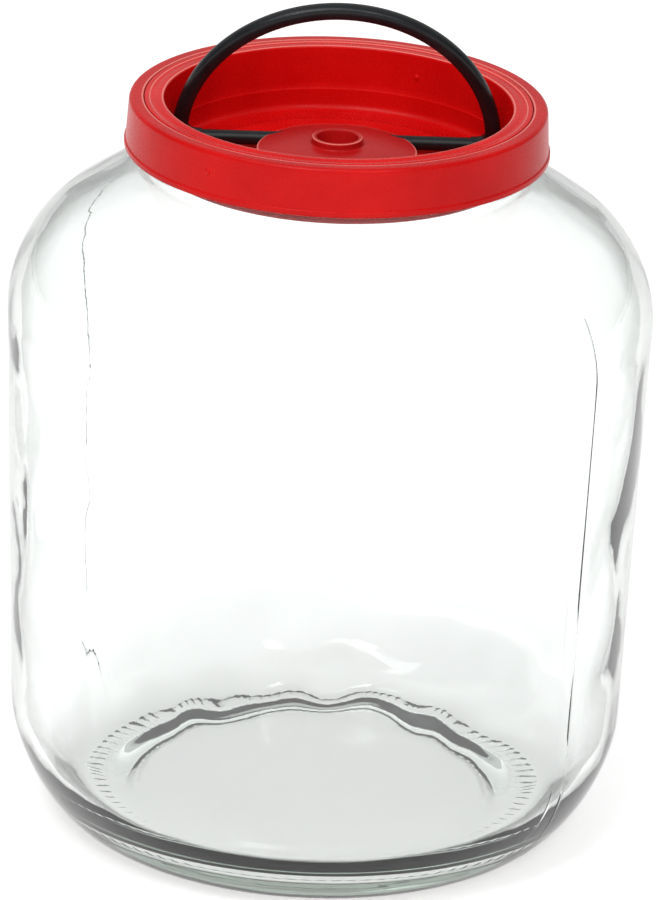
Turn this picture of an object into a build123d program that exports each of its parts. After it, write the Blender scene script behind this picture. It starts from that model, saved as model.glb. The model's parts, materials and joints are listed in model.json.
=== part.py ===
from build123d import *
import os
from math import atan, cos, degrees, radians, sin, tan

# Wide-mouthed glass storage jar, five-litre class, with a screw lid and a folding handle.
# Millimetres. Origin: centre of the circle that the jar rests on. +Z up. Front of the jar: -Y.

# ---- glass jar ----
body_radius = 94.5          # outside of the wall at its widest, under the shoulder
wall_foot_radius = 90.7     # outside of the wall where the heel begins
wall = 4.0
heel_height = 35.0          # rounding from the bearing ring up to the wall
heel_fullness = 0.42        # how full that rounding is; 0.55 is nearly an ellipse
inner_heel_height = 26.0    # the same corner on the inside
inner_heel_reach = 20.0
inner_heel_fullness = 0.52
base_thickness = 6.5        # glass between the push-up and the inside floor
push_up = 3.5               # how far the base rises inside the bearing ring
push_up_run = 16.0          # radial width of the step from the push-up down to the ring
bearing_radius = 66.2       # middle of the knurled bearing ring
bearing_width = 4.0
bearing_slope = 0.05        # how steeply the step meets the bearing ring
shoulder_bottom = 157.0     # middle of the shoulder's rounding
shoulder_radius = 38.0      # rounding from the wall into the slope up to the neck
shoulder_sweep = 56.0       # degrees of that rounding above its middle
neck_fillet = 3.0           # between slope and neck
mouth_fillet = 3.0          # the same corner on the inside
neck_radius = 56.2          # outside of the neck, at the root of the thread
mouth_radius = 52.9
lip_height = 217.75
lip_round = 1.2

# ---- screw thread, shared by the neck and the ring ----
thread_lead = 8.0           # one turn of the lid raises it this far
thread_root_half = 1.2
thread_tip_half = 0.5
thread_bite = 0.35          # how deep a ridge's root is sunk in its wall
neck_thread_start = 208.9   # height of the ridge's middle where it begins
neck_thread_turns = 0.8
neck_thread_depth = 0.9
ring_thread_drop = 1.7      # the ring's ridge bears on the neck's from below
ring_thread_first_turn = 0.29
ring_thread_turns = 0.75
ring_thread_depth = 0.8

# ---- screw ring ----
lid_top = 221.5
ring_top_radius = 60.7
ring_skirt_radius = 61.3    # outside of the skirt, just above its bead
ring_bead_radius = 61.8
ring_bead_height = 2.0
ring_bead_foot = 0.6        # how far the bead is drawn in at its foot
ring_bottom = 207.2
ring_bore = 57.45           # inside of the skirt, between the ridges
ring_hole = 56.5            # hole in the ring's top web
ring_web = 1.3
ring_top_round = 1.2

# ---- dished inner lid ----
collar_radius = 56.2        # raised edge of the dish, inside the ring's hole
flange_radius = 57.1        # thin flange held under the ring's web
flange_top = 220.15
flange_bottom = 218.95
dish_radius = 50.5          # recess wall, upper part
dish_step_height = 208.6    # ledge in the recess wall
dish_step_width = 0.4
dish_outer_radius = 52.2
dish_floor = 202.0
dish_floor_thickness = 1.4
dish_corner = 2.0
dish_edge_round = 0.7
spigot_radius = 5.95        # upstanding spigot that carries the retainer
spigot_top = 205.2

# ---- seal ----
seal_inner = 53.2
seal_outer = 56.6
seal_gap = 0.05

# ---- handle retainer ----
hub_radius = 23.4
hub_edge_height = 206.6
hub_crown_height = 208.4
hub_edge_round = 0.6
hub_dome_reach = 0.63       # middle of the domed top, as a fraction of the radius
hub_dome_rise = 0.6         # its height there, as a fraction of the rise from edge to crown
stem_radius = 7.4
stem_bore = 6.0
stem_sink = 0.2             # the stem's foot is sunk this far in the crown
stem_chamfer = 0.4
stem_top = 210.6

# ---- carrying handle ----
hinge_y = 13.0              # hinge axis, behind the middle of the lid
hinge_z = 204.9
handle_lean = 17.0          # degrees that the arch leans forward at rest
handle_radius = 48.0        # outside of the arch
handle_width = 4.4          # across the arch, in its plane
handle_thickness = 4.4      # across the arch, square to its plane
handle_corner = 7.0         # rounding of the lower outer corners
handle_inner_corner = 2.5
handle_edge_round = 1.5
bar_radius = 2.1
foot_half_height = 2.3
bar_half_length = 42.0      # the round crossbar ends inside the feet
foot_inside = 39.3          # inner end of each foot
hinge_clearance = 0.06
slot_overrun = 1.0          # the slot below the hinge is cut this far past the hub's underside


def turned(draw, rounds=()):
    """Revolves the closed outline that draw() makes, as (radius, height), about the jar's axis.

    Each of the rounds is a corner of the outline and its fillet radius.
    """
    with BuildPart() as part:
        with BuildSketch(Plane.XZ) as outline:
            with BuildLine():
                draw()
            make_face()
            for corner, radius in rounds:
                spot = Vector(*corner)
                fillet(min(outline.vertices(), key=lambda v: (Vector(*v) - spot).length), radius)
        revolve(axis=Axis.Z)
    return part.part


def ridge(wall_radius, depth, start_height, first_turn, turns, outward):
    """One helical thread ridge standing on a cylindrical wall."""
    side = 1 if outward else -1
    section = Polygon(
        (-side * thread_bite, -thread_root_half),
        (side * depth, -thread_tip_half),
        (side * depth, thread_tip_half),
        (-side * thread_bite, thread_root_half),
        align=None,
    )
    place = Plane(origin=(wall_radius, 0, start_height), x_dir=(1, 0, 0), z_dir=(0, -1, 0))
    path = Helix(thread_lead, thread_lead * turns, wall_radius, center=(0, 0, start_height))
    body = sweep(place * section, path=path, is_frenet=True)
    return Rot(0, 0, 360 * first_turn) * body


def shoulder_corner(arc_radius, end_radius):
    """Where the shoulder's rounding ends, and where its slope reaches end_radius."""
    sweep_angle = radians(shoulder_sweep)
    arc_end = (body_radius - shoulder_radius + arc_radius * cos(sweep_angle),
               shoulder_bottom + arc_radius * sin(sweep_angle))
    rise = (arc_end[0] - end_radius) / tan(sweep_angle)
    return arc_end, (end_radius, arc_end[1] + rise)


def heel(start, end, taper, fullness):
    """The rounding from a flat base at start up to the tapered wall at end."""
    reach = fullness * (end[0] - start[0])
    rise = fullness * (end[1] - start[1])
    Bezier(start, (start[0] + reach, start[1]),
           (end[0] - rise * sin(taper), end[1] - rise * cos(taper)), end)


def jar_outline():
    taper = atan((body_radius - wall_foot_radius) / (shoulder_bottom - heel_height))
    arc_middle = (body_radius - shoulder_radius, shoulder_bottom)
    inner_arc_radius = shoulder_radius - wall
    arc_end, neck_foot = shoulder_corner(shoulder_radius, neck_radius)
    inner_arc_end, mouth_foot = shoulder_corner(inner_arc_radius, mouth_radius)
    ring_in = bearing_radius - bearing_width / 2
    ring_out = bearing_radius + bearing_width / 2
    step_in = ring_in - push_up_run
    wall_foot = (wall_foot_radius, heel_height)
    inner_floor = push_up + base_thickness
    inner_foot = (wall_foot_radius - wall, inner_floor + inner_heel_height)
    floor_edge = (inner_foot[0] - inner_heel_reach, inner_floor)
    Line((0, push_up), (step_in, push_up))
    Spline((step_in, push_up), (ring_in, 0), tangents=((1, 0), (1, -bearing_slope)))
    Line((ring_in, 0), (ring_out, 0))
    heel((ring_out, 0), wall_foot, taper, heel_fullness)
    outer_arc = CenterArc(arc_middle, shoulder_radius, -degrees(taper),
                          shoulder_sweep + degrees(taper))
    Line(wall_foot, outer_arc @ 0)
    Line(arc_end, neck_foot)
    Line(neck_foot, (neck_radius, lip_height - lip_round))
    RadiusArc((neck_radius, lip_height - lip_round), (neck_radius - lip_round, lip_height),
              -lip_round)
    Line((neck_radius - lip_round, lip_height), (mouth_radius + lip_round, lip_height))
    RadiusArc((mouth_radius + lip_round, lip_height), (mouth_radius, lip_height - lip_round),
              -lip_round)
    Line((mouth_radius, lip_height - lip_round), mouth_foot)
    Line(mouth_foot, inner_arc_end)
    inner_arc = CenterArc(arc_middle, inner_arc_radius, -degrees(taper),
                          shoulder_sweep + degrees(taper))
    Line(inner_arc @ 0, inner_foot)
    heel(floor_edge, inner_foot, taper, inner_heel_fullness)
    Line(floor_edge, (0, inner_floor))
    Line((0, inner_floor), (0, push_up))


def glass_jar():
    thread = ridge(neck_radius, neck_thread_depth, neck_thread_start, 0, neck_thread_turns, True)
    rounds = [
        (shoulder_corner(shoulder_radius, neck_radius)[1], neck_fillet),
        (shoulder_corner(shoulder_radius - wall, mouth_radius)[1], mouth_fillet),
    ]
    return turned(jar_outline, rounds) + thread


def ring_outline():
    bead_top = ring_bottom + ring_bead_height
    bead_middle = ring_bottom + ring_bead_height / 2
    web_under = lid_top - ring_web
    foot_radius = ring_bead_radius - ring_bead_foot
    Line((ring_bore, ring_bottom), (foot_radius, ring_bottom))
    ThreePointArc((foot_radius, ring_bottom), (ring_bead_radius, bead_middle),
                  (ring_skirt_radius, bead_top))
    Line((ring_skirt_radius, bead_top), (ring_top_radius, lid_top - ring_top_round))
    RadiusArc((ring_top_radius, lid_top - ring_top_round),
              (ring_top_radius - ring_top_round, lid_top), -ring_top_round)
    Line((ring_top_radius - ring_top_round, lid_top), (ring_hole, lid_top))
    Line((ring_hole, lid_top), (ring_hole, web_under))
    Line((ring_hole, web_under), (ring_bore, web_under))
    Line((ring_bore, web_under), (ring_bore, ring_bottom))


def screw_ring():
    start = neck_thread_start - ring_thread_drop + thread_lead * ring_thread_first_turn
    thread = ridge(ring_bore, ring_thread_depth, start, ring_thread_first_turn,
                   ring_thread_turns, False)
    return turned(ring_outline) + thread


def dish_outline():
    lower_radius = dish_radius - dish_step_width
    under = dish_floor - dish_floor_thickness
    outer_corner = dish_corner + dish_floor_thickness
    Line((0, under), (dish_outer_radius - outer_corner, under))
    RadiusArc((dish_outer_radius - outer_corner, under),
              (dish_outer_radius, under + outer_corner), -outer_corner)
    Line((dish_outer_radius, under + outer_corner), (dish_outer_radius, flange_bottom))
    Line((dish_outer_radius, flange_bottom), (flange_radius, flange_bottom))
    Line((flange_radius, flange_bottom), (flange_radius, flange_top))
    Line((flange_radius, flange_top), (collar_radius, flange_top))
    Line((collar_radius, flange_top), (collar_radius, lid_top))
    Line((collar_radius, lid_top), (dish_radius + dish_edge_round, lid_top))
    RadiusArc((dish_radius + dish_edge_round, lid_top),
              (dish_radius, lid_top - dish_edge_round), -dish_edge_round)
    Line((dish_radius, lid_top - dish_edge_round), (dish_radius, dish_step_height))
    Line((dish_radius, dish_step_height), (lower_radius, dish_step_height - dish_step_width))
    Line((lower_radius, dish_step_height - dish_step_width),
         (lower_radius, dish_floor + dish_corner))
    RadiusArc((lower_radius, dish_floor + dish_corner),
              (lower_radius - dish_corner, dish_floor), dish_corner)
    Line((lower_radius - dish_corner, dish_floor), (spigot_radius, dish_floor))
    Line((spigot_radius, dish_floor), (spigot_radius, spigot_top))
    Line((spigot_radius, spigot_top), (0, spigot_top))
    Line((0, spigot_top), (0, under))


def inner_lid():
    return turned(dish_outline)


def seal_ring():
    height = flange_bottom - lip_height - 2 * seal_gap
    blank = Cylinder(seal_outer, height) - Cylinder(seal_inner, height)
    return Pos(0, 0, lip_height + seal_gap + height / 2) * blank


def hub_outline():
    edge_side = hub_edge_height - hub_edge_round
    stem_foot = hub_crown_height - stem_sink
    dome_middle = (hub_radius * hub_dome_reach,
                   hub_edge_height + (hub_crown_height - hub_edge_height) * hub_dome_rise)
    Line((stem_bore, dish_floor), (hub_radius, dish_floor))
    Line((hub_radius, dish_floor), (hub_radius, edge_side))
    RadiusArc((hub_radius, edge_side), (hub_radius - hub_edge_round, hub_edge_height),
              -hub_edge_round)
    ThreePointArc((hub_radius - hub_edge_round, hub_edge_height), dome_middle,
                  (stem_radius, stem_foot))
    Line((stem_radius, stem_foot), (stem_radius, stem_top - stem_chamfer))
    Line((stem_radius, stem_top - stem_chamfer), (stem_radius - stem_chamfer, stem_top))
    Line((stem_radius - stem_chamfer, stem_top), (stem_bore, stem_top))
    Line((stem_bore, stem_top), (stem_bore, dish_floor))


def handle_retainer():
    bore = bar_radius + hinge_clearance
    length = 3 * hub_radius
    tunnel = Pos(0, hinge_y, hinge_z) * Rot(0, 90, 0) * Cylinder(bore, length)
    drop = hinge_z - dish_floor + slot_overrun
    slot = Pos(0, hinge_y, hinge_z - drop / 2) * Box(length, 2 * bore, drop)
    return turned(hub_outline) - tunnel - slot


def handle_profile():
    """The D-shaped ring in its own plane: x along the crossbar, y up the arch."""
    span = 3 * handle_radius
    above_foot = Pos(0, span / 2 - foot_half_height) * Rectangle(span, span)
    above_bar = Pos(0, span / 2 + foot_half_height) * Rectangle(span, span)
    outer = Circle(handle_radius) & above_foot
    inner = Circle(handle_radius - handle_width) & above_bar
    outer = fillet(outer.vertices(), handle_corner)
    inner = fillet(inner.vertices(), handle_inner_corner)
    return outer - inner


def carry_handle():
    ring = extrude(handle_profile(), handle_thickness / 2, both=True)
    faces = ring.faces().sort_by(Axis.Z)
    rims = faces[0].edges() + faces[-1].edges()
    ring = fillet(rims, handle_edge_round)
    ring = ring - Box(2 * foot_inside, 4 * foot_half_height, 2 * handle_thickness)
    ring = ring + Rot(0, 90, 0) * Cylinder(bar_radius, 2 * bar_half_length)
    lean = radians(handle_lean)
    place = Plane(origin=(0, hinge_y, hinge_z), x_dir=(1, 0, 0),
                  z_dir=(0, -cos(lean), -sin(lean)))
    return place * ring


nodes = {
    "glass_jar": glass_jar,
    "screw_ring": screw_ring,
    "inner_lid": inner_lid,
    "seal_ring": seal_ring,
    "handle_retainer": handle_retainer,
    "carry_handle": carry_handle,
}

os.makedirs("parts", exist_ok=True)
for name, make in nodes.items():
    piece = make()
    piece.label = name
    export_step(piece, f"parts/{name}.step")
    print(name, "volume", round(piece.volume), "solids", len(piece.solids()), piece.is_valid)
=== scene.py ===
import bpy
import json
from math import atan2, cos, hypot, pi, radians, sin, tan
from mathutils import Matrix, Vector


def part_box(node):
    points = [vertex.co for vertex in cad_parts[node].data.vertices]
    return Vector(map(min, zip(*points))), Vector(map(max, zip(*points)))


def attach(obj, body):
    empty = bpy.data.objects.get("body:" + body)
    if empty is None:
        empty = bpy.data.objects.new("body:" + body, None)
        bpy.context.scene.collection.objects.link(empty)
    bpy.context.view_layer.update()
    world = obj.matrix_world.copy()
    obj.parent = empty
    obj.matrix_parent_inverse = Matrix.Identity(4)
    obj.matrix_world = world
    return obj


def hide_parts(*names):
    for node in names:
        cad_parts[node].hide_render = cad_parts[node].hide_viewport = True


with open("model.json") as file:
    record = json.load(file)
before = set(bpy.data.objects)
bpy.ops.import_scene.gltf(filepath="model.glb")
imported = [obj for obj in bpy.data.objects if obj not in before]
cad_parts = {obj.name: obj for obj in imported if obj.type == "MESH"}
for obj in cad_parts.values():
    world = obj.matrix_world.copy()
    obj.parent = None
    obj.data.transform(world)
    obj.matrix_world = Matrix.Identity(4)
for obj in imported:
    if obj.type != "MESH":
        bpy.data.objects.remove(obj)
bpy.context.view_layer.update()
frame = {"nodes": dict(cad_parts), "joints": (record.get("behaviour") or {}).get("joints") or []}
print("frame loaded:", ", ".join(sorted(frame["nodes"])))

mm = 0.001
weld = 1e-6      # vertices closer than this are one
touch = 1e-7     # a vertex this close to a point is that point

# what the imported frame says
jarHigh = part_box("glass_jar")[1]
ringLow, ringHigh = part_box("screw_ring")
dishLow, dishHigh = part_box("inner_lid")
hubLow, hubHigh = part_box("handle_retainer")
swing = next(j for j in frame["joints"] if j["name"] == "handle_swing")
hinge = Vector(swing["pos_m"])


# small helpers for edit mode
def startClean():
    if bpy.context.object and bpy.context.object.mode != "OBJECT":
        bpy.ops.object.mode_set(mode="OBJECT")
    bpy.ops.object.select_all(action="DESELECT")


def makeActive(obj):
    startClean()
    obj.select_set(True)
    bpy.context.view_layer.objects.active = obj


def selectVerts(obj, test):  # leaves obj in edit mode with only the wanted vertices selected
    makeActive(obj)
    bpy.ops.object.mode_set(mode="EDIT")
    bpy.ops.mesh.select_mode(type="VERT")
    bpy.ops.mesh.select_all(action="DESELECT")
    bpy.ops.object.mode_set(mode="OBJECT")
    for v in obj.data.vertices:
        v.select = test(v.co)
    bpy.ops.object.mode_set(mode="EDIT")


def applyModifier(obj, kind, **settings):
    makeActive(obj)
    mod = obj.modifiers.new(kind.title(), kind)
    for key, value in settings.items():
        setattr(mod, key, value)
    bpy.ops.object.modifier_apply(modifier=mod.name)


def smooth(obj, angle=35):
    makeActive(obj)
    bpy.ops.object.shade_smooth_by_angle(angle=radians(angle))


def arc(centre, radius, start, end, steps, squashZ=1.0):  # points of a round stretch, ends included
    points = []
    for i in range(steps + 1):
        a = radians(start + (end - start) * i / steps)
        points.append((centre[0] + radius * cos(a), centre[1] + radius * squashZ * sin(a)))
    return points


def lineOf(start, end, steps):  # evenly spaced points, without the first
    return [(start[0] + (end[0] - start[0]) * i / steps, start[1] + (end[1] - start[1]) * i / steps)
            for i in range(1, steps + 1)]


def traceOutline(name, outline, closed):  # one vertex, extruded from point to point in the XZ plane
    startClean()
    bpy.ops.mesh.primitive_plane_add(size=mm, location=(0, 0, 0))
    obj = bpy.context.object
    obj.name = obj.data.name = name
    bpy.ops.object.mode_set(mode="EDIT")
    bpy.ops.mesh.select_mode(type="VERT")
    bpy.ops.mesh.select_all(action="SELECT")
    bpy.ops.mesh.merge(type="CENTER")
    here = outline[0]
    bpy.ops.transform.translate(value=(here[0], 0, here[1]))
    for point in outline[1:]:
        step = (point[0] - here[0], 0, point[1] - here[1])
        bpy.ops.mesh.extrude_region_move(TRANSFORM_OT_translate={"value": step})
        here = point
    if closed:
        ends = (Vector((outline[0][0], 0, outline[0][1])), Vector((here[0], 0, here[1])))
        selectVerts(obj, lambda co: min((co - ends[0]).length, (co - ends[1]).length) < touch)
        bpy.ops.mesh.edge_face_add()
    return obj


def turnOutline(name, outline, closed, steps):  # a lathe-turned piece
    obj = traceOutline(name, outline, closed)
    bpy.ops.mesh.select_all(action="SELECT")
    bpy.ops.mesh.spin(steps=steps, angle=2 * pi, center=(0, 0, 0), axis=(0, 0, 1))
    bpy.ops.mesh.select_all(action="SELECT")
    bpy.ops.mesh.remove_doubles(threshold=weld)
    bpy.ops.mesh.normals_make_consistent(inside=False)
    bpy.ops.object.mode_set(mode="OBJECT")
    return obj


def threadRidge(name, wallRadius, depth, startZ, firstTurn, turns, outward):  # a helical ridge
    side = 1 if outward else -1
    rootR = wallRadius - side * thread["bite"]
    tipR = wallRadius + side * depth
    section = [(rootR, startZ - thread["rootHalf"]), (tipR, startZ - thread["tipHalf"]),
               (tipR, startZ + thread["tipHalf"]), (rootR, startZ + thread["rootHalf"])]
    obj = traceOutline(name, section, True)
    bpy.ops.object.mode_set(mode="OBJECT")
    applyModifier(obj, "SCREW", angle=2 * pi * turns, screw_offset=thread["lead"] * turns,
                  steps=int(160 * turns), render_steps=int(160 * turns), use_smooth_shade=False)
    makeActive(obj)
    bpy.ops.object.mode_set(mode="EDIT")
    bpy.ops.mesh.select_mode(type="EDGE")
    bpy.ops.mesh.select_all(action="DESELECT")
    bpy.ops.mesh.select_non_manifold()
    bpy.ops.mesh.edge_face_add()
    bpy.ops.mesh.select_non_manifold()
    bpy.ops.mesh.fill_holes(sides=0)
    bpy.ops.mesh.select_all(action="SELECT")
    bpy.ops.mesh.normals_make_consistent(inside=False)
    bpy.ops.object.mode_set(mode="OBJECT")
    obj.rotation_euler.z = 2 * pi * firstTurn
    bpy.ops.object.transform_apply(location=True, rotation=True, scale=True)
    return obj


def fuse(obj, other):  # joins other into obj as one closed shell
    applyModifier(obj, "BOOLEAN", object=other, operation="UNION", solver="EXACT")
    startClean()
    other.select_set(True)
    bpy.ops.object.delete()


def mouldingPip(obj, spot):  # a flattened ball fused on a round wall
    turn = radians(spot["turn"])
    out = Vector((cos(turn), sin(turn), 0))
    at = out * spot["wallR"] + Vector((0, 0, spot["height"]))
    startClean()
    bpy.ops.mesh.primitive_uv_sphere_add(segments=20, ring_count=12, radius=spot["radius"], location=at)
    pip = bpy.context.object
    pip.rotation_euler = (out * spot["facing"]).to_track_quat("Z", "Y").to_euler()
    pip.scale = (1, 1, spot["proud"] / spot["radius"])
    bpy.ops.object.transform_apply(location=True, rotation=True, scale=True)
    fuse(obj, pip)


thread = {"lead": 8.0 * mm, "rootHalf": 1.2 * mm, "tipHalf": 0.5 * mm, "bite": 0.35 * mm}


# materials
class nodeKit:  # a short way to add and link shader nodes
    def __init__(self, name):
        self.material = bpy.data.materials.new(name)
        self.material.use_nodes = True
        self.tree = self.material.node_tree
        self.shader = self.tree.nodes["Principled BSDF"]

    def add(self, kind, **settings):
        node = self.tree.nodes.new("ShaderNode" + kind)
        for key, value in settings.items():  # an input's value, or else a property of the node
            if key in node.inputs:
                node.inputs[key].default_value = value
            else:
                setattr(node, key, value)
        return node

    def link(self, source, output, target, socket):
        self.tree.links.new(source.outputs[output], target.inputs[socket])

    def place(self, scale=(1, 1, 1)):  # object coordinates, stretched
        coords = self.add("TexCoord")
        mapping = self.add("Mapping")
        mapping.inputs["Scale"].default_value = scale
        self.link(coords, "Object", mapping, "Vector")
        return mapping

    def noise(self, place, scale, detail=3.0, rough=0.55):
        node = self.add("TexNoise")
        node.inputs["Scale"].default_value = scale
        node.inputs["Detail"].default_value = detail
        node.inputs["Roughness"].default_value = rough
        self.link(place, "Vector", node, "Vector")
        return node

    def ramp(self, source, output, low, high):
        node = self.add("ValToRGB")
        node.color_ramp.elements[0].position, node.color_ramp.elements[0].color = low
        node.color_ramp.elements[1].position, node.color_ramp.elements[1].color = high
        self.link(source, output, node, "Fac")
        return node

    def paintedHighlightLine(self, radius, half):  # painted highlight: a pale line, strong at this distance from the jar's axis, gone past half
        reach = self.add("VectorMath", operation="LENGTH")
        self.link(self.place((1, 1, 0)), "Vector", reach, 0)
        away = self.add("Math", operation="SUBTRACT")
        self.link(reach, "Value", away, 0)
        away.inputs[1].default_value = radius
        size = self.add("Math", operation="ABSOLUTE")
        self.link(away, 0, size, 0)
        fade = self.add("MapRange")
        self.link(size, 0, fade, "Value")
        fade.inputs["From Min"].default_value = half / 2
        fade.inputs["From Max"].default_value = half
        fade.inputs["To Min"].default_value = 0.75
        fade.inputs["To Max"].default_value = 0.0
        return fade

    def larger(self, one, other):
        node = self.add("Math", operation="MAXIMUM")
        self.link(one, 0, node, 0)
        self.link(other, 0, node, 1)
        return node

    def bump(self, height, output, strength, distance, under=None):
        node = self.add("Bump")
        node.inputs["Strength"].default_value = strength
        node.inputs["Distance"].default_value = distance
        self.link(height, output, node, "Height")
        if under:
            self.link(under, "Normal", node, "Normal")
        return node


def pressedSodaGlass(name):
    kit = nodeKit(name)
    glass = kit.shader.inputs
    glass["Transmission Weight"].default_value = 1.0
    glass["IOR"].default_value = 1.51
    ripple = kit.noise(kit.place((1, 1, 0.4)), 30, 1.5)   # slow ripples left by the mould
    grain = kit.noise(kit.place((1, 1, 1)), 260, 2.0)
    slow = kit.bump(ripple, "Fac", 0.35, 0.9 * mm)
    fine = kit.bump(grain, "Fac", 0.05, 0.1 * mm, under=slow)
    kit.link(fine, "Normal", kit.shader, "Normal")
    edge = kit.add("LayerWeight", Blend=0.5)              # painted shade: seen edge on, the glass turns dark grey-green; the green is the glass's own, the darkness stands in for the dark edges that refraction shows
    kit.link(slow, "Normal", edge, "Normal")
    tone = kit.ramp(edge, "Facing", (0.60, (0.985, 0.995, 0.99, 1)), (0.93, (0.09, 0.11, 0.09, 1)))
    kit.link(tone, "Color", kit.shader, "Base Color")
    haze = kit.ramp(grain, "Fac", (0.45, (0.0, 0.0, 0.0, 1)), (0.8, (0.035, 0.035, 0.035, 1)))
    kit.link(haze, "Color", kit.shader, "Roughness")
    tint = kit.add("VolumeAbsorption", Density=7.0)
    tint.inputs["Color"].default_value = (0.45, 0.62, 0.50, 1)
    kit.tree.links.new(tint.outputs["Volume"], kit.tree.nodes["Material Output"].inputs["Volume"])
    return kit.material


def redPolypropylene(name, piece):
    kit = nodeKit(name)
    cloud = kit.noise(kit.place(), 46, 4.0)
    colour = kit.ramp(cloud, "Fac", (0.3, (*piece["deep"], 1)), (0.72, (*piece["bright"], 1)))
    lines = None
    for radius, half in piece["edges"]:                   # painted highlights: pale lines along the rim edges, where light would glint
        line = kit.paintedHighlightLine(radius, half)
        lines = kit.larger(lines, line) if lines else line
    # painted highlight colour, pale pink, mixed in along these lines
    pale = kit.add("MixRGB")
    kit.link(lines, 0, pale, "Fac")
    kit.link(colour, "Color", pale, "Color1")
    pale.inputs["Color2"].default_value = (0.86, 0.26, 0.22, 1)
    kit.link(pale, "Color", kit.shader, "Base Color")
    speck = kit.noise(kit.place(), 1500, 2.0)
    smoothest, roughest = piece["rough"]
    rough = kit.ramp(speck, "Fac", (0.3, (smoothest,) * 3 + (1,)), (0.7, (roughest,) * 3 + (1,)))
    kit.link(rough, "Color", kit.shader, "Roughness")
    flow = kit.noise(kit.place((1, 1, 9)), 120, 3.0, 0.7)     # fine lines round the moulding
    under = kit.bump(flow, "Fac", 0.06, 0.08 * mm)
    skin = kit.bump(speck, "Fac", 0.05, 0.03 * mm, under=under)
    kit.link(skin, "Normal", kit.shader, "Normal")
    kit.shader.inputs["IOR"].default_value = 1.49
    kit.shader.inputs["Specular IOR Level"].default_value = 0.13
    return kit.material


def blackHandlePlastic(name):
    kit = nodeKit(name)
    cloud = kit.noise(kit.place(), 120, 4.0)
    colour = kit.ramp(cloud, "Fac", (0.3, (0.003, 0.004, 0.005, 1)), (0.75, (0.010, 0.012, 0.014, 1)))
    kit.link(colour, "Color", kit.shader, "Base Color")
    speck = kit.noise(kit.place(), 1400, 3.0, 0.7)
    rough = kit.ramp(speck, "Fac", (0.25, (0.24, 0.24, 0.24, 1)), (0.75, (0.42, 0.42, 0.42, 1)))
    kit.link(rough, "Color", kit.shader, "Roughness")
    skin = kit.bump(speck, "Fac", 0.22, 0.10 * mm)
    kit.link(skin, "Normal", kit.shader, "Normal")
    kit.shader.inputs["Specular IOR Level"].default_value = 0.32
    return kit.material


def paleSealFoam(name):
    kit = nodeKit(name)
    pores = kit.noise(kit.place(), 1600, 4.0, 0.7)
    colour = kit.ramp(pores, "Fac", (0.3, (0.62, 0.61, 0.56, 1)), (0.7, (0.80, 0.79, 0.74, 1)))
    kit.link(colour, "Color", kit.shader, "Base Color")
    kit.link(kit.bump(pores, "Fac", 0.4, 0.15 * mm), "Normal", kit.shader, "Normal")
    kit.shader.inputs["Roughness"].default_value = 0.85
    return kit.material


def finishPiece(obj, material, body, slotName, *nodes):
    obj.data.materials.clear()
    obj.data.materials.append(material)
    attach(obj, body)
    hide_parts(*nodes)
    print("  ", obj.name, len(obj.data.polygons), "faces")


# glass jar
glass = {
    "bodyR": jarHigh.x,             # outside of the wall, under the shoulder
    "footR": 90.7 * mm,             # outside of the wall, above the heel
    "wall": 4.0 * mm,
    "lip": jarHigh.z,
    "lipRound": 1.2 * mm,
    "neckR": 56.2 * mm,
    "mouthR": 52.9 * mm,
    "heelUp": 35.0 * mm,
    "heelFull": 0.42,
    "floor": 10.0 * mm,             # top of the glass floor
    "innerUp": 26.0 * mm,
    "innerReach": 20.0 * mm,
    "innerFull": 0.52,
    "pushUp": 3.5 * mm,
    "pushRun": 16.0 * mm,
    "bearingR": 66.2 * mm,
    "bearingWidth": 4.0 * mm,
    "shoulderMid": 157.0 * mm,
    "shoulderR": 38.0 * mm,
    "shoulderSweep": 56.0,
    "steps": 288,
    "ticks": 96,                    # knurl on the bearing ring
    "tickDepth": 0.45 * mm,
    "seamTurn": -37.0,              # degrees from +X; the other seam is opposite
    "seamHalf": 0.35 * mm,
    "seamHeight": 0.16 * mm,
    "wave": 1.6 * mm,               # unevenness of the inside
    "waveLength": 24 * mm,
    "waveFade": 20 * mm,
    "neckBend": [(2.4 * mm, 0), (1.0 * mm, 1.5 * mm), (0.2 * mm, 3.0 * mm), (0, 4.2 * mm)],
    "mouthBend": [(0, 2.6 * mm), (0.4 * mm, 1.2 * mm), (1.5 * mm, 0)],
    "floorSink": 0.8 * mm,          # how far the floor sinks to the middle
    "seamFrom": 4 * mm,
    "seamTo": 202 * mm,
    "threadStart": 208.9 * mm,
    "threadDepth": 0.9 * mm,
    "threadTurns": 0.8,
}


def heelCurve(start, end, taper, fullness, steps):  # from the flat base up to the leaning wall
    reach, rise = fullness * (end[0] - start[0]), fullness * (end[1] - start[1])
    a, b = start, (start[0] + reach, start[1])
    c, d = (end[0] - rise * sin(taper), end[1] - rise * cos(taper)), end
    points = []
    for i in range(steps + 1):
        t = i / steps
        w = ((1 - t) ** 3, 3 * t * (1 - t) ** 2, 3 * t * t * (1 - t), t ** 3)
        points.append(tuple(sum(k * p[n] for k, p in zip(w, (a, b, c, d))) for n in (0, 1)))
    return points


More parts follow.
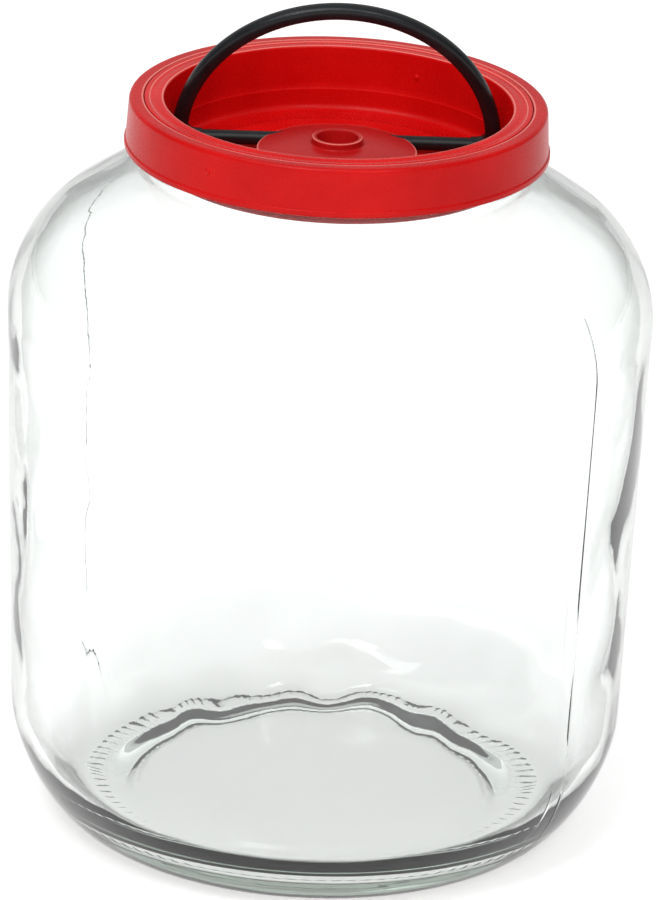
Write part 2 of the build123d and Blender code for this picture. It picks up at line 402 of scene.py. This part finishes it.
def jarOutline():
    g = glass
    ringIn = g["bearingR"] - g["bearingWidth"] / 2
    ringOut = g["bearingR"] + g["bearingWidth"] / 2
    sweep = g["shoulderSweep"]
    taper = atan2(g["bodyR"] - g["footR"], g["shoulderMid"] - g["heelUp"])
    lean = taper * 180 / pi
    arcMid = (g["bodyR"] - g["shoulderR"], g["shoulderMid"])
    innerFoot = (g["footR"] - g["wall"], g["floor"] + g["innerUp"])
    floorEdge = (innerFoot[0] - g["innerReach"], g["floor"])

    def slopeTo(end, radius):  # where the straight slope above the shoulder's rounding reaches a radius
        rise = (end[0] - radius) / tan(radians(sweep))
        return (radius, end[1] + rise)

    outer = [(0, g["pushUp"])]
    outer += lineOf(outer[-1], (ringIn - g["pushRun"], g["pushUp"]), 12)
    for i in range(1, 11):  # the step down to the bearing ring is a soft S
        t = i / 10
        outer.append((ringIn - g["pushRun"] * (1 - t), g["pushUp"] * (0.5 + 0.5 * cos(pi * t))))
    outer += lineOf((ringIn, 0), (ringOut, 0), 3)
    outer += heelCurve(outer[-1], (g["footR"], g["heelUp"]), taper, g["heelFull"], 26)[1:]
    shoulder = arc(arcMid, g["shoulderR"], -lean, sweep, 22)
    outer += lineOf(outer[-1], shoulder[0], 20) + shoulder[1:]
    neckFoot = slopeTo(outer[-1], g["neckR"] + g["neckBend"][0][0])
    outer += lineOf(outer[-1], neckFoot, 6)
    outer += [(g["neckR"] + out, neckFoot[1] + up) for out, up in g["neckBend"][1:]]
    outer += lineOf(outer[-1], (g["neckR"], g["lip"] - g["lipRound"]), 6)
    outer += arc((g["neckR"] - g["lipRound"], g["lip"] - g["lipRound"]), g["lipRound"], 0, 90, 6)[1:]
    inner = arc((g["mouthR"] + g["lipRound"], g["lip"] - g["lipRound"]), g["lipRound"], 90, 180, 6)
    innerArc = arc(arcMid, g["shoulderR"] - g["wall"], sweep, -lean, 20)
    mouthFoot = slopeTo(innerArc[0], g["mouthR"] + g["mouthBend"][-1][0])
    bend = [(g["mouthR"] + out, mouthFoot[1] + up) for out, up in g["mouthBend"]]
    inner += lineOf(inner[-1], bend[0], 5) + bend[1:]
    inner += lineOf(mouthFoot, innerArc[0], 6) + innerArc[1:]
    inner += lineOf(inner[-1], innerFoot, 20)
    inner += heelCurve(floorEdge, innerFoot, taper, g["innerFull"], 22)[-2::-1]
    inner += lineOf(inner[-1], (0, g["floor"] - g["floorSink"]), 20)
    return outer + inner


def jarKnurl(jar):  # lifts what lies between the ticks of the bearing ring
    g = glass
    perTick = g["steps"] // g["ticks"]
    stepAngle = 2 * pi / g["steps"]

    def between(co):
        r = hypot(co.x, co.y)
        inBand = abs(r - g["bearingR"]) < g["bearingWidth"] / 2 + 0.1 * mm and co.z < 0.3 * mm
        return inBand and round(atan2(co.y, co.x) / stepAngle) % perTick != 0

    selectVerts(jar, between)
    bpy.ops.transform.translate(value=(0, 0, g["tickDepth"]))
    bpy.ops.object.mode_set(mode="OBJECT")


def outsideAt(height):  # radius of the leaning wall's outside
    g = glass
    share = (height - g["heelUp"]) / (g["shoulderMid"] - g["heelUp"])
    return g["footR"] + (g["bodyR"] - g["footR"]) * share


def jarWave(jar):  # pressed glass is never quite even inside
    g = glass
    fade = g["waveFade"]
    low, high = g["heelUp"] + g["floor"], g["shoulderMid"]
    group = jar.vertex_groups.new(name="inside")
    for v in jar.data.vertices:
        z = v.co.z
        if low < z < high and hypot(v.co.x, v.co.y) < outsideAt(z) - 0.5 * g["wall"]:
            group.add([v.index], min((z - low) / fade, (high - z) / fade, 1), "REPLACE")
    clouds = bpy.data.textures.new("slow waves", "CLOUDS")
    clouds.noise_scale = g["waveLength"]
    clouds.noise_depth = 1
    applyModifier(jar, "DISPLACE", texture=clouds, strength=g["wave"], mid_level=0.5,
                  vertex_group="inside", texture_coords="LOCAL")
    jar.vertex_groups.clear()
    bpy.data.textures.remove(clouds)


def jarSeam(jar):  # the fine line that the two mould halves leave
    g = glass
    turn = radians(g["seamTurn"])
    across = Vector((-sin(turn), cos(turn), 0))
    for shift in (-g["seamHalf"], 0, g["seamHalf"]):
        makeActive(jar)
        bpy.ops.object.mode_set(mode="EDIT")
        bpy.ops.mesh.select_all(action="SELECT")
        bpy.ops.mesh.bisect(plane_co=across * shift, plane_no=across, threshold=weld)
        bpy.ops.object.mode_set(mode="OBJECT")

    def onRidge(co):
        r = hypot(co.x, co.y)
        if abs(co.dot(across)) > 1e-5 or not g["seamFrom"] < co.z < g["seamTo"]:
            return False
        if co.z > g["shoulderMid"]:
            fromMid = hypot(r - (g["bodyR"] - g["shoulderR"]), co.z - g["shoulderMid"])
            return fromMid > g["shoulderR"] - 0.5 * g["wall"]
        if co.z > g["heelUp"]:
            return r > outsideAt(co.z) - 0.5 * g["wall"]
        return r > g["bearingR"] + g["bearingWidth"] and r - g["bearingR"] > 0.9 * co.z - 2 * mm

    selectVerts(jar, onRidge)
    grow = 1 + g["seamHeight"] / g["bodyR"]
    bpy.ops.transform.resize(value=(grow, grow, 1), center_override=(0, 0, 0))
    bpy.ops.object.mode_set(mode="OBJECT")


jar = turnOutline("glass_body", jarOutline(), False, glass["steps"])
jarKnurl(jar)
jarWave(jar)
jarSeam(jar)
fuse(jar, threadRidge("neck_thread", glass["neckR"], glass["threadDepth"], glass["threadStart"], 0,
                      glass["threadTurns"], True))
smooth(jar, 40)
finishPiece(jar, pressedSodaGlass("pressed soda glass"), "jar", "glass", "glass_jar")
print("jar done")


# screw ring
ring = {
    "top": ringHigh.z,
    "bottom": ringLow.z,
    "topR": 60.7 * mm,
    "skirtR": 61.3 * mm,
    "beadR": ringHigh.x,
    "bead": 2.0 * mm,
    "bore": 57.45 * mm,
    "hole": 56.5 * mm,
    "web": 1.3 * mm,
    "topRound": 1.2 * mm,
    "steps": 256,
    "threadDepth": 0.8 * mm,
    "threadDrop": 1.7 * mm,
    "threadFirst": 0.29,
    "threadTurns": 0.75,
    "foot": 0.3 * mm,               # bevel inside the lower edge
    "boreFrom": 0.6 * mm,           # how far above the lower edge the bore's last point is
    "holeRound": 0.25 * mm,
    "pip": {"turn": -128, "wallR": 60.95 * mm, "height": 215.2 * mm, "facing": 1,
            "radius": 0.9 * mm, "proud": 0.5 * mm},
    "deep": (0.50, 0.0025, 0.003),
    "bright": (0.60, 0.005, 0.005),
    "rough": (0.24, 0.36),
    "edges": [(56.8 * mm, 0.35 * mm)],      # radius and half width of each painted highlight line
}


def ringOutline():
    r = ring
    bead = r["beadR"] - r["skirtR"]
    points = [(r["bore"], r["bottom"] + r["foot"]), (r["bore"] + r["foot"], r["bottom"])]
    points += lineOf(points[-1], (r["beadR"] - bead, r["bottom"]), 2)
    points += arc((r["beadR"] - bead, r["bottom"] + bead), bead, 270, 360, 5)[1:]
    points += arc((r["beadR"] - bead, r["bottom"] + r["bead"] - bead), bead, 0, 80, 5)
    points += lineOf(points[-1], (r["topR"], r["top"] - r["topRound"]), 6)
    points += arc((r["topR"] - r["topRound"], r["top"] - r["topRound"]), r["topRound"], 0, 90, 7)[1:]
    soft = r["holeRound"]
    points += lineOf(points[-1], (r["hole"] + soft, r["top"]), 3)
    points += arc((r["hole"] + soft, r["top"] - soft), soft, 90, 180, 3)[1:]
    points += [(r["hole"], r["top"] - r["web"]), (r["bore"], r["top"] - r["web"])]
    points += lineOf(points[-1], (r["bore"], r["bottom"] + r["boreFrom"]), 4)
    return points


screwRing = turnOutline("red_screw_ring", ringOutline(), True, ring["steps"])
ringStart = glass["threadStart"] - ring["threadDrop"] + thread["lead"] * ring["threadFirst"]
fuse(screwRing, threadRidge("ring_thread", ring["bore"], ring["threadDepth"], ringStart,
                            ring["threadFirst"], ring["threadTurns"], False))
mouldingPip(screwRing, ring["pip"])
smooth(screwRing, 38)
finishPiece(screwRing, redPolypropylene("red ring polypropylene", ring), "lid", "red_ring", "screw_ring")
print("screw ring done")


# dished inner lid
dish = {
    "top": dishHigh.z,
    "under": dishLow.z,
    "floorThick": 1.4 * mm,
    "outR": 52.2 * mm,
    "inR": 50.5 * mm,
    "step": 208.6 * mm,
    "stepWidth": 0.4 * mm,
    "corner": 2.0 * mm,
    "edgeRound": 0.7 * mm,
    "collarR": 56.2 * mm,
    "flangeR": dishHigh.x,
    "flangeTop": 220.15 * mm,
    "flangeUnder": 218.95 * mm,
    "spigotR": 5.95 * mm,
    "spigotTop": 205.2 * mm,
    "steps": 256,
    "soft": 0.3 * mm,               # rounding of the collar's and the spigot's outer edge
    "channel": [(54.9 * mm, 0), (54.5 * mm, 0.25 * mm), (53.2 * mm, 0.30 * mm),
                (52.7 * mm, 0.02 * mm)],                # shallow channel round the rim, radius and depth
    "ledge": (0.15 * mm, 0.3 * mm),
    "floorRib": [(41.5 * mm, 0), (41.0 * mm, 0.25 * mm), (40.2 * mm, 0.25 * mm), (39.7 * mm, 0)],
    "pip": {"turn": 62, "wallR": 50.5 * mm, "height": 214.5 * mm, "facing": -1,
            "radius": 0.9 * mm, "proud": 0.45 * mm},
    "deep": (0.58, 0.0025, 0.003),
    "bright": (0.70, 0.005, 0.005),
    "rough": (0.20, 0.32),
    # radius and half width of each painted highlight line
    "edges": [(51.0 * mm, 0.3 * mm), (54.7 * mm, 0.2 * mm)],
}


def dishOutline():
    d = dish
    floorZ = d["under"] + d["floorThick"]
    outCorner = d["corner"] + d["floorThick"]
    lowR = d["inR"] - d["stepWidth"]
    points = [(0, d["under"])]
    points += lineOf(points[-1], (d["outR"] - outCorner, d["under"]), 8)
    points += arc((d["outR"] - outCorner, d["under"] + outCorner), outCorner, 270, 360, 8)[1:]
    points += lineOf(points[-1], (d["outR"], d["flangeUnder"]), 4)
    points += [(d["flangeR"], d["flangeUnder"]), (d["flangeR"], d["flangeTop"]),
               (d["collarR"], d["flangeTop"])]
    soft = d["soft"]
    points += lineOf(points[-1], (d["collarR"], d["top"] - soft), 2)
    points += arc((d["collarR"] - soft, d["top"] - soft), soft, 0, 90, 3)[1:]
    channel = [(radius, d["top"] - depth) for radius, depth in d["channel"]]
    points += lineOf(points[-1], channel[0], 2) + channel[1:]
    points += lineOf(points[-1], (d["inR"] + d["edgeRound"], d["top"]), 2)
    points += arc((d["inR"] + d["edgeRound"], d["top"] - d["edgeRound"]), d["edgeRound"], 90, 180, 5)[1:]
    points += lineOf(points[-1], (d["inR"], d["step"]), 6)
    points += [(d["inR"] - d["ledge"][0], d["step"] - d["ledge"][1]), (lowR, d["step"] - d["stepWidth"])]
    points += lineOf(points[-1], (lowR, floorZ + d["corner"]), 3)
    points += arc((lowR - d["corner"], floorZ + d["corner"]), d["corner"], 360, 270, 6)[1:]
    rib = [(radius, floorZ + height) for radius, height in d["floorRib"]]
    points += lineOf(points[-1], rib[0], 3) + rib[1:]
    points += lineOf(points[-1], (d["spigotR"], floorZ), 8)
    points += [(d["spigotR"], d["spigotTop"] - soft), (d["spigotR"] - soft, d["spigotTop"])]
    points += [(0, d["spigotTop"])]
    return points


innerLid = turnOutline("red_dish_lid", dishOutline(), False, dish["steps"])
mouldingPip(innerLid, dish["pip"])
smooth(innerLid, 38)
finishPiece(innerLid, redPolypropylene("red dish polypropylene", dish), "lid", "red_dish", "inner_lid")
print("inner lid done")


# handle retainer
hub = {
    "low": hubLow.z,
    "radius": hubHigh.x,
    "edge": 206.6 * mm,
    "crown": 208.4 * mm,
    "edgeRound": 0.6 * mm,
    "stemR": 7.4 * mm,
    "stemTop": hubHigh.z,
    "bore": 6.0 * mm,
    "tunnel": 2.16 * mm,
    "steps": 192,
    "lip": 0.45 * mm,               # rounding of the stem's top
    "stemFoot": 0.6 * mm,           # rounding where the stem meets the dome
    "boreFrom": 0.4 * mm,
    "deep": (0.42, 0.005, 0.006),
    "bright": (0.52, 0.010, 0.010),
    "rough": (0.26, 0.40),
    # radius and half width of each painted highlight line
    "edges": [(23.05 * mm, 0.3 * mm), (7.15 * mm, 0.2 * mm)],
}


def hubOutline():
    h = hub
    lip, foot, edge = h["lip"], h["stemFoot"], h["edgeRound"]
    points = [(h["bore"], h["low"])]
    points += lineOf(points[-1], (h["radius"], h["low"]), 4)
    points += lineOf(points[-1], (h["radius"], h["edge"] - h["edgeRound"]), 3)
    points += arc((h["radius"] - edge, h["edge"] - edge), edge, 0, 90, 5)[1:]
    startR = points[-1][0]
    endR = h["stemR"] + foot
    for i in range(1, 11):  # gently domed top
        t = i / 10
        r = startR + (endR - startR) * t
        points.append((r, h["edge"] + (h["crown"] - h["edge"]) * sin(t * pi / 2)))
    points += arc((endR, h["crown"] + foot), foot, 270, 180, 4)[1:]
    points += lineOf(points[-1], (h["stemR"], h["stemTop"] - lip), 2)
    points += arc((h["stemR"] - lip, h["stemTop"] - lip), lip, 0, 90, 4)[1:]
    points += arc((h["bore"] + lip, h["stemTop"] - lip), lip, 90, 180, 4)
    points += lineOf(points[-1], (h["bore"], h["low"] + h["boreFrom"]), 4)
    return points


retainer = turnOutline("red_handle_retainer", hubOutline(), True, hub["steps"])
startClean()
bpy.ops.mesh.primitive_cylinder_add(vertices=48, radius=hub["tunnel"], depth=3 * hub["radius"],
                                    location=(0, hinge.y, hinge.z), rotation=(0, pi / 2, 0))
tunnel = bpy.context.object
bpy.ops.object.transform_apply(location=True, rotation=True, scale=True)
selectVerts(tunnel, lambda co: co.z < hinge.z - 0.01 * mm)      # the tunnel is open downwards
bpy.ops.transform.translate(value=(0, 0, -2 * (hinge.z - hub["low"])))
bpy.ops.object.mode_set(mode="OBJECT")
applyModifier(retainer, "BOOLEAN", object=tunnel, operation="DIFFERENCE", solver="EXACT")
startClean()
tunnel.select_set(True)
bpy.ops.object.delete()
smooth(retainer, 38)
redHub = redPolypropylene("red retainer polypropylene", hub)
finishPiece(retainer, redHub, "lid", "red_retainer", "handle_retainer")
print("retainer done")


# carrying handle
handle = {
    "lean": 17.0,
    "outR": 48.0 * mm,
    "width": 4.4 * mm,              # of the section, both ways
    "cornerR": 7.0 * mm,
    "ridge": 0.18 * mm,             # low ridge along the middle of each face
    "edge": 1.5 * mm,
    "barR": 2.1 * mm,
    "barHalf": 43.5 * mm,
    "footIn": 39.3 * mm,
}


def archPath():  # middle of the section, from one foot round to the other, in the arch's own plane
    h = handle
    midR = h["outR"] - h["width"] / 2
    corner = h["cornerR"] - h["width"] / 2
    centreZ = corner
    centreX = ((midR - corner) ** 2 - centreZ ** 2) ** 0.5
    join = atan2(centreZ, centreX) * 180 / pi
    right = [(h["footIn"], 0.0)]
    right += arc((centreX, centreZ), corner, 270, 360 + join, 12)
    right += arc((0, 0), midR, join, 90, 36)[1:]
    left = [(-x, z) for x, z in reversed(right[:-1])]
    return right + left


def sectionOutline():  # a rounded square with a low ridge along the middle of each face
    h = handle
    w = h["width"] / 2
    points = []
    for quarter in range(4):
        turn = radians(90 * quarter)
        corner = arc((w - h["edge"], w - h["edge"]), h["edge"], 0, 90, 5)
        side = corner + [(0, w + h["ridge"])]
        points += [(x * cos(turn) - z * sin(turn), x * sin(turn) + z * cos(turn)) for x, z in side]
    return points


def toCurve(obj):
    makeActive(obj)
    bpy.ops.object.convert(target="CURVE")
    return bpy.context.object


section = traceOutline("handle_section", sectionOutline(), True)
bpy.ops.object.mode_set(mode="OBJECT")
section.rotation_euler.x = -pi / 2
bpy.ops.object.transform_apply(location=True, rotation=True, scale=True)
section = toCurve(section)
carryHandle = traceOutline("black_carry_handle", archPath(), False)
bpy.ops.object.mode_set(mode="OBJECT")
carryHandle = toCurve(carryHandle)
carryHandle.data.bevel_mode = "OBJECT"
carryHandle.data.bevel_object = section
carryHandle.data.use_fill_caps = True
makeActive(carryHandle)
bpy.ops.object.convert(target="MESH")
carryHandle = bpy.context.object
startClean()
section.select_set(True)
bpy.ops.object.delete()
makeActive(carryHandle)
bpy.ops.object.mode_set(mode="EDIT")
bpy.ops.mesh.select_all(action="SELECT")
bpy.ops.mesh.remove_doubles(threshold=weld)
bpy.ops.mesh.normals_make_consistent(inside=False)
bpy.ops.object.mode_set(mode="OBJECT")
startClean()
bpy.ops.mesh.primitive_cylinder_add(vertices=40, radius=handle["barR"], depth=2 * handle["barHalf"],
                                    location=(0, 0, 0), rotation=(0, pi / 2, 0))
bar = bpy.context.object
bpy.ops.object.transform_apply(location=True, rotation=True, scale=True)
fuse(carryHandle, bar)
carryHandle.rotation_euler.x = radians(handle["lean"])
carryHandle.location = hinge
makeActive(carryHandle)
bpy.ops.object.transform_apply(location=True, rotation=True, scale=True)
smooth(carryHandle, 30)
blackMoulding = blackHandlePlastic("black handle moulding")
finishPiece(carryHandle, blackMoulding, "handle", "black_handle", "carry_handle")
print("handle done")


# seal, kept as the frame has it
seal = frame["nodes"]["seal_ring"]
seal.data.materials.clear()
seal.data.materials.append(paleSealFoam("pale seal foam"))


# floor, light and camera
studio = {
    "floorSize": 24.0,
    "floorTone": (0.90, 0.90, 0.90, 1),
    "floorGlow": 0.55,
    "worldTone": (0.60, 0.60, 0.60, 1),
    "worldSide": (0.12, 0.13, 0.12, 1),
    "lens": 282.7,
    "distance": 2.080,
    "azimuth": -1.5,                # degrees the camera stands to the right of the middle, so left here
    "pitch": 21.41,
    "roll": 2.35,
    "aimHeight": 0.120,
    "slideRight": 0.00130,
    "slideUp": -0.00656,
    "sensor": 36,
    "floorZ": -0.2 * mm,
    "sideFrom": 0.55,               # where the world begins to darken to the sides, and where it ends
    "sideTo": 0.9,
    "lights": [                     # name, place, aim, size and power
        ("top_softbox", (-0.35, -0.45, 1.25), (0, 0, 0.1), (0.9, 0.7), 6),
        ("left_softbox", (-0.42, -0.95, 1.15), (0, 0, 0.2), (0.22, 0.30), 3),
        ("right_softbox", (0.42, -0.95, 1.15), (0, 0, 0.2), (0.22, 0.30), 3),
    ],
}


def paleFloor():  # a lit table, so almost nothing casts a shadow on it
    startClean()
    bpy.ops.mesh.primitive_plane_add(size=studio["floorSize"], location=(0, 0, studio["floorZ"]))
    floor = bpy.context.object
    floor.name = "pale_floor"
    kit = nodeKit("pale studio floor")
    cloud = kit.noise(kit.place(), 3.0, 2.0)
    tone = studio["floorTone"]
    colour = kit.ramp(cloud, "Fac", (0.2, tone), (0.8, tuple(min(c + 0.02, 1) for c in tone)))
    kit.link(colour, "Color", kit.shader, "Base Color")
    kit.link(colour, "Color", kit.shader, "Emission Color")
    kit.shader.inputs["Emission Strength"].default_value = studio["floorGlow"]
    kit.shader.inputs["Roughness"].default_value = 0.9
    floor.data.materials.append(kit.material)


def areaLight(name, at, target, size, power):
    startClean()
    bpy.ops.object.light_add(type="AREA", location=at)
    light = bpy.context.object
    light.name = name
    light.data.shape = "RECTANGLE"
    light.data.size, light.data.size_y = size
    light.data.energy = power
    light.rotation_euler = (Vector(target) - Vector(at)).to_track_quat("-Z", "Y").to_euler()


def studioWorld():  # pale all round, dark to both sides
    world = bpy.data.worlds.new("studio")
    bpy.context.scene.world = world
    world.use_nodes = True
    tree = world.node_tree
    back = tree.nodes["Background"]
    coords = tree.nodes.new("ShaderNodeTexCoord")
    split = tree.nodes.new("ShaderNodeSeparateXYZ")
    side = tree.nodes.new("ShaderNodeMath")
    side.operation = "ABSOLUTE"
    ramp = tree.nodes.new("ShaderNodeValToRGB")
    ramp.color_ramp.elements[0].position = studio["sideFrom"]
    ramp.color_ramp.elements[0].color = studio["worldTone"]
    ramp.color_ramp.elements[1].position = studio["sideTo"]
    ramp.color_ramp.elements[1].color = studio["worldSide"]
    tree.links.new(coords.outputs["Generated"], split.inputs["Vector"])
    tree.links.new(split.outputs["X"], side.inputs[0])
    tree.links.new(side.outputs[0], ramp.inputs["Fac"])
    tree.links.new(ramp.outputs["Color"], back.inputs["Color"])


def frontCamera():
    s = studio
    pitch, roll = radians(s["pitch"]), radians(s["roll"])
    azimuth = radians(s["azimuth"])
    ahead = Vector((-sin(azimuth) * cos(pitch), cos(azimuth) * cos(pitch), -sin(pitch)))
    right = Vector((cos(azimuth), sin(azimuth), 0))
    up = right.cross(ahead)
    tiltedRight = cos(roll) * right + sin(roll) * up
    tiltedUp = -sin(roll) * right + cos(roll) * up
    place = Vector((0, 0, s["aimHeight"])) - s["distance"] * ahead
    place += s["slideRight"] * tiltedRight + s["slideUp"] * tiltedUp
    startClean()
    bpy.ops.object.camera_add(location=place)
    camera = bpy.context.object
    turn = Matrix((tiltedRight, tiltedUp, -ahead)).transposed()
    camera.rotation_euler = turn.to_euler()
    camera.data.lens = s["lens"]
    camera.data.sensor_width = s["sensor"]
    camera.data.clip_start = 0.01
    camera.data.clip_end = 100
    bpy.context.scene.camera = camera


paleFloor()
studioWorld()
for light in studio["lights"]:
    areaLight(*light)
frontCamera()
bpy.context.scene.view_settings.view_transform = "Standard"
print("studio done")
